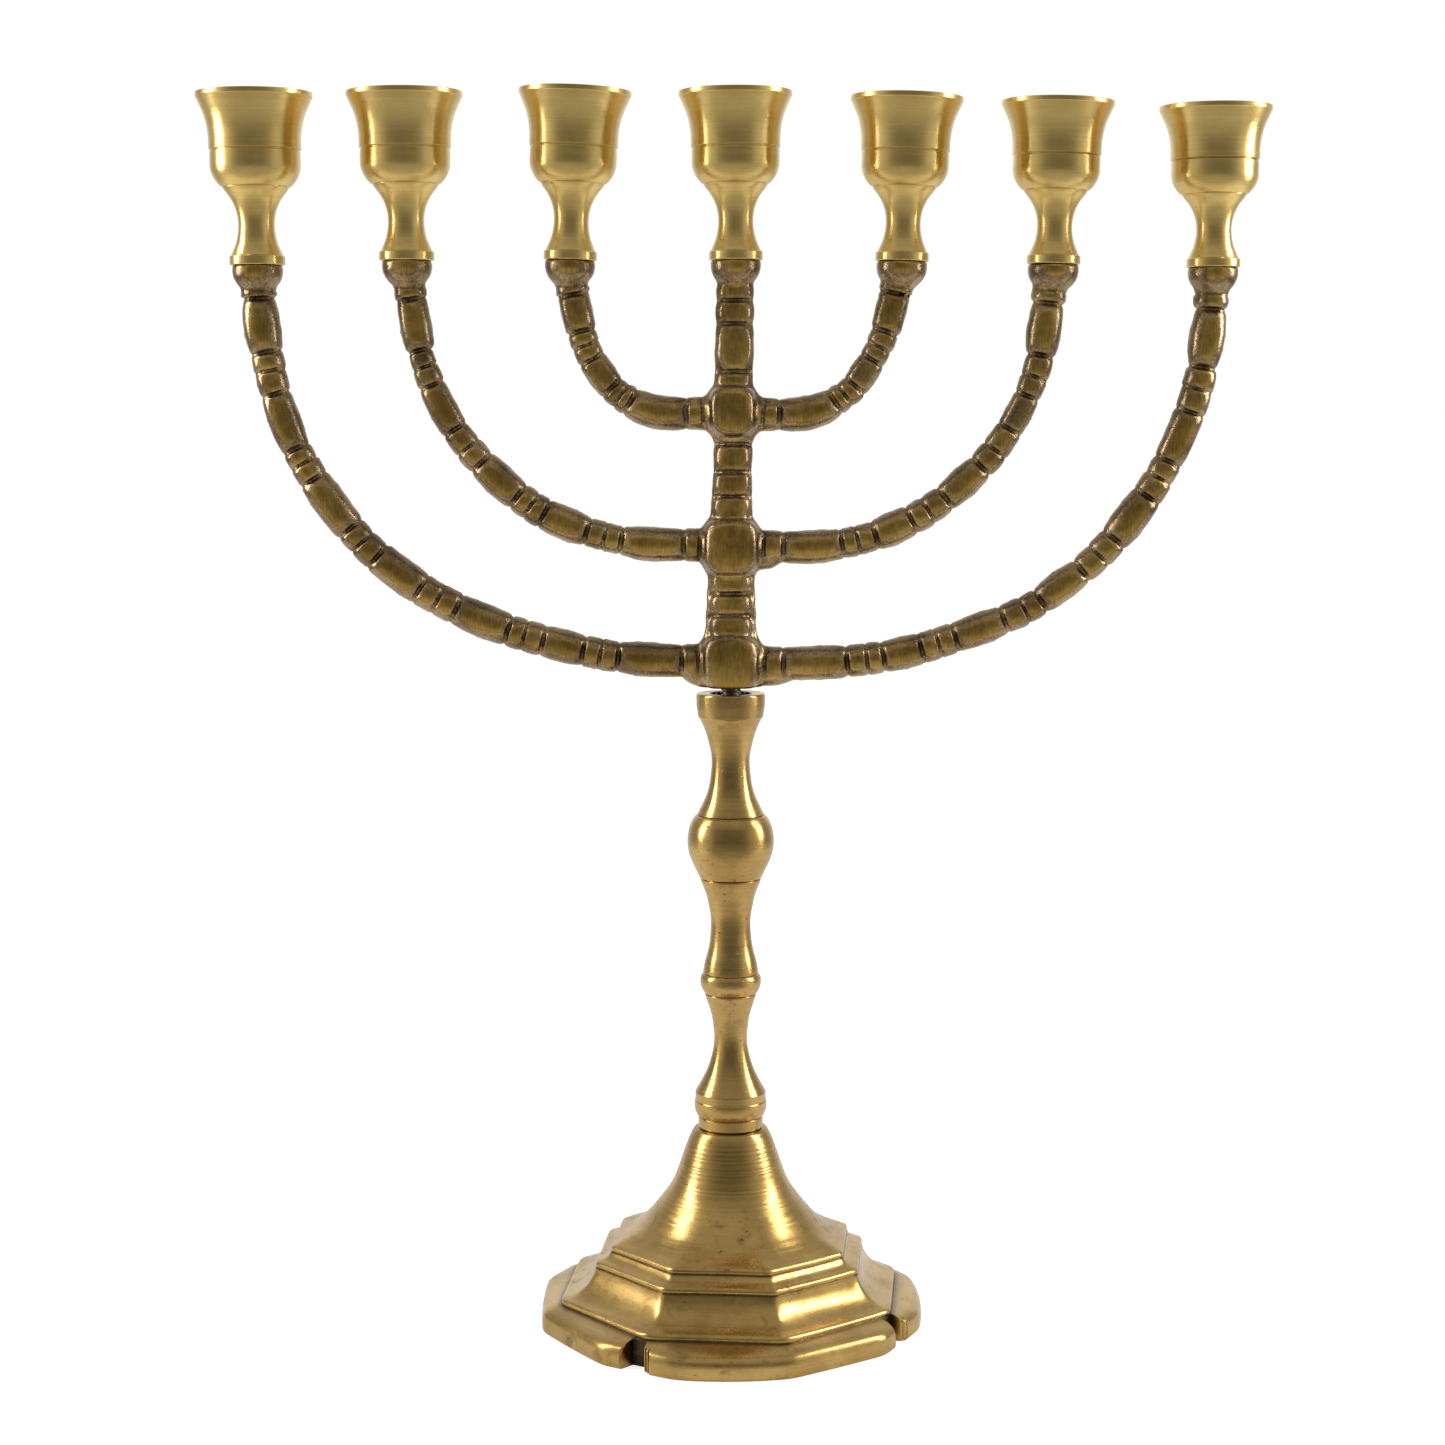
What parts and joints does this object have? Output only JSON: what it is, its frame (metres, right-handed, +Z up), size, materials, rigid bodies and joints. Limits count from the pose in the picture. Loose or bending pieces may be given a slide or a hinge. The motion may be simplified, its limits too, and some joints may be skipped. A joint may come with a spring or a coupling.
{
  "type": "menorah",
  "caption": "Free-standing brass menorah with a turned stem on an octagonal foot, curved beaded branches and a row of screw-on candle cups.",
  "frame": {"origin": "middle of the foot's underside, on the surface it stands on", "axes": "+Z up, +X along the row of branches, -Y towards the front"},
  "size_m": [0.3022, 0.1138, 0.3548],
  "materials": {
    "antique_brass": "satin turned, antiqued",
    "cast_brass": "sand cast, dark patina with brushed flats",
    "bright_brass": "satin lathe brushed",
    "steel": "plain threaded steel, dulled"
  },
  "bodies": {
    "base": {"base_foot": "antique_brass", "neck_collar": "antique_brass", "stem_lower_section": "antique_brass", "stem_ring_bead": "antique_brass", "stem_middle_section": "antique_brass", "stem_knop": "antique_brass", "stem_upper_section": "antique_brass", "stem_lock_nut": "steel", "base_washer": "steel", "base_nut": "steel"},
    "head_rod": {"tie_rod": "steel"},
    "head": {"branch_casting": "cast_brass"},
    "cup_stud_1": {"cup_stud_1": "steel"},
    "candle_cup_1": {"candle_cup_1": "bright_brass"},
    "cup_stud_2": {"cup_stud_2": "steel"},
    "candle_cup_2": {"candle_cup_2": "bright_brass"},
    "cup_stud_3": {"cup_stud_3": "steel"},
    "candle_cup_3": {"candle_cup_3": "bright_brass"},
    "cup_stud_4": {"cup_stud_4": "steel"},
    "candle_cup_4": {"candle_cup_4": "bright_brass"},
    "cup_stud_5": {"cup_stud_5": "steel"},
    "candle_cup_5": {"candle_cup_5": "bright_brass"},
    "cup_stud_6": {"cup_stud_6": "steel"},
    "candle_cup_6": {"candle_cup_6": "bright_brass"},
    "cup_stud_7": {"cup_stud_7": "steel"},
    "candle_cup_7": {"candle_cup_7": "bright_brass"}
  },
  "joints": [
    {"name": "head_turn", "type": "hinge", "parent": "base", "child": "head_rod", "pos_m": [0, 0, 0.193], "axis": [0, 0, 1], "range_deg": [0, 4320]},
    {"name": "head_lift", "type": "slide", "parent": "head_rod", "child": "head", "axis": [0, 0, 1], "range_m": [0, 0.012]},
    {"name": "cup_1_turn", "type": "hinge", "parent": "head", "child": "cup_stud_1", "pos_m": [-0.1337, 0, 0.3056], "axis": [-0.0035, 0, 1], "range_deg": [0, 3240]},
    {"name": "cup_1_lift", "type": "slide", "parent": "cup_stud_1", "child": "candle_cup_1", "axis": [-0.0035, 0, 1], "range_m": [0, 0.0063]},
    {"name": "cup_2_turn", "type": "hinge", "parent": "head", "child": "cup_stud_2", "pos_m": [-0.0915, 0, 0.3069], "axis": [-0.0035, 0, 1], "range_deg": [0, 3240]},
    {"name": "cup_2_lift", "type": "slide", "parent": "cup_stud_2", "child": "candle_cup_2", "axis": [-0.0035, 0, 1], "range_m": [0, 0.0063]},
    {"name": "cup_3_turn", "type": "hinge", "parent": "head", "child": "cup_stud_3", "pos_m": [-0.0454, 0, 0.307], "axis": [0.0366, 0, 0.9993], "range_deg": [0, 3240]},
    {"name": "cup_3_lift", "type": "slide", "parent": "cup_stud_3", "child": "candle_cup_3", "axis": [0.0366, 0, 0.9993], "range_m": [0, 0.0063]},
    {"name": "cup_4_turn", "type": "hinge", "parent": "head", "child": "cup_stud_4", "pos_m": [0.0014, 0, 0.307], "axis": [-0.0035, 0, 1], "range_deg": [0, 3240]},
    {"name": "cup_4_lift", "type": "slide", "parent": "cup_stud_4", "child": "candle_cup_4", "axis": [-0.0035, 0, 1], "range_m": [0, 0.0063]},
    {"name": "cup_5_turn", "type": "hinge", "parent": "head", "child": "cup_stud_5", "pos_m": [0.0483, 0, 0.3067], "axis": [0.0262, 0, 0.9997], "range_deg": [0, 3240]},
    {"name": "cup_5_lift", "type": "slide", "parent": "cup_stud_5", "child": "candle_cup_5", "axis": [0.0262, 0, 0.9997], "range_m": [0, 0.0063]},
    {"name": "cup_6_turn", "type": "hinge", "parent": "head", "child": "cup_stud_6", "pos_m": [0.0911, 0, 0.3059], "axis": [0.0175, 0, 0.9998], "range_deg": [0, 3240]},
    {"name": "cup_6_lift", "type": "slide", "parent": "cup_stud_6", "child": "candle_cup_6", "axis": [0.0175, 0, 0.9998], "range_m": [0, 0.0063]},
    {"name": "cup_7_turn", "type": "hinge", "parent": "head", "child": "cup_stud_7", "pos_m": [0.1362, 0, 0.305], "axis": [-0.0017, 0, 1], "range_deg": [0, 3240]},
    {"name": "cup_7_lift", "type": "slide", "parent": "cup_stud_7", "child": "candle_cup_7", "axis": [-0.0017, 0, 1], "range_m": [0, 0.0063]}
  ],
  "couplings": [
    {"joint": "head_lift", "follows": "head_turn", "m_per_rad": 0.00015915},
    {"joint": "cup_1_lift", "follows": "cup_1_turn", "m_per_rad": 0.00011141},
    {"joint": "cup_2_lift", "follows": "cup_2_turn", "m_per_rad": 0.00011141},
    {"joint": "cup_3_lift", "follows": "cup_3_turn", "m_per_rad": 0.00011141},
    {"joint": "cup_4_lift", "follows": "cup_4_turn", "m_per_rad": 0.00011141},
    {"joint": "cup_5_lift", "follows": "cup_5_turn", "m_per_rad": 0.00011141},
    {"joint": "cup_6_lift", "follows": "cup_6_turn", "m_per_rad": 0.00011141},
    {"joint": "cup_7_lift", "follows": "cup_7_turn", "m_per_rad": 0.00011141}
  ]
}
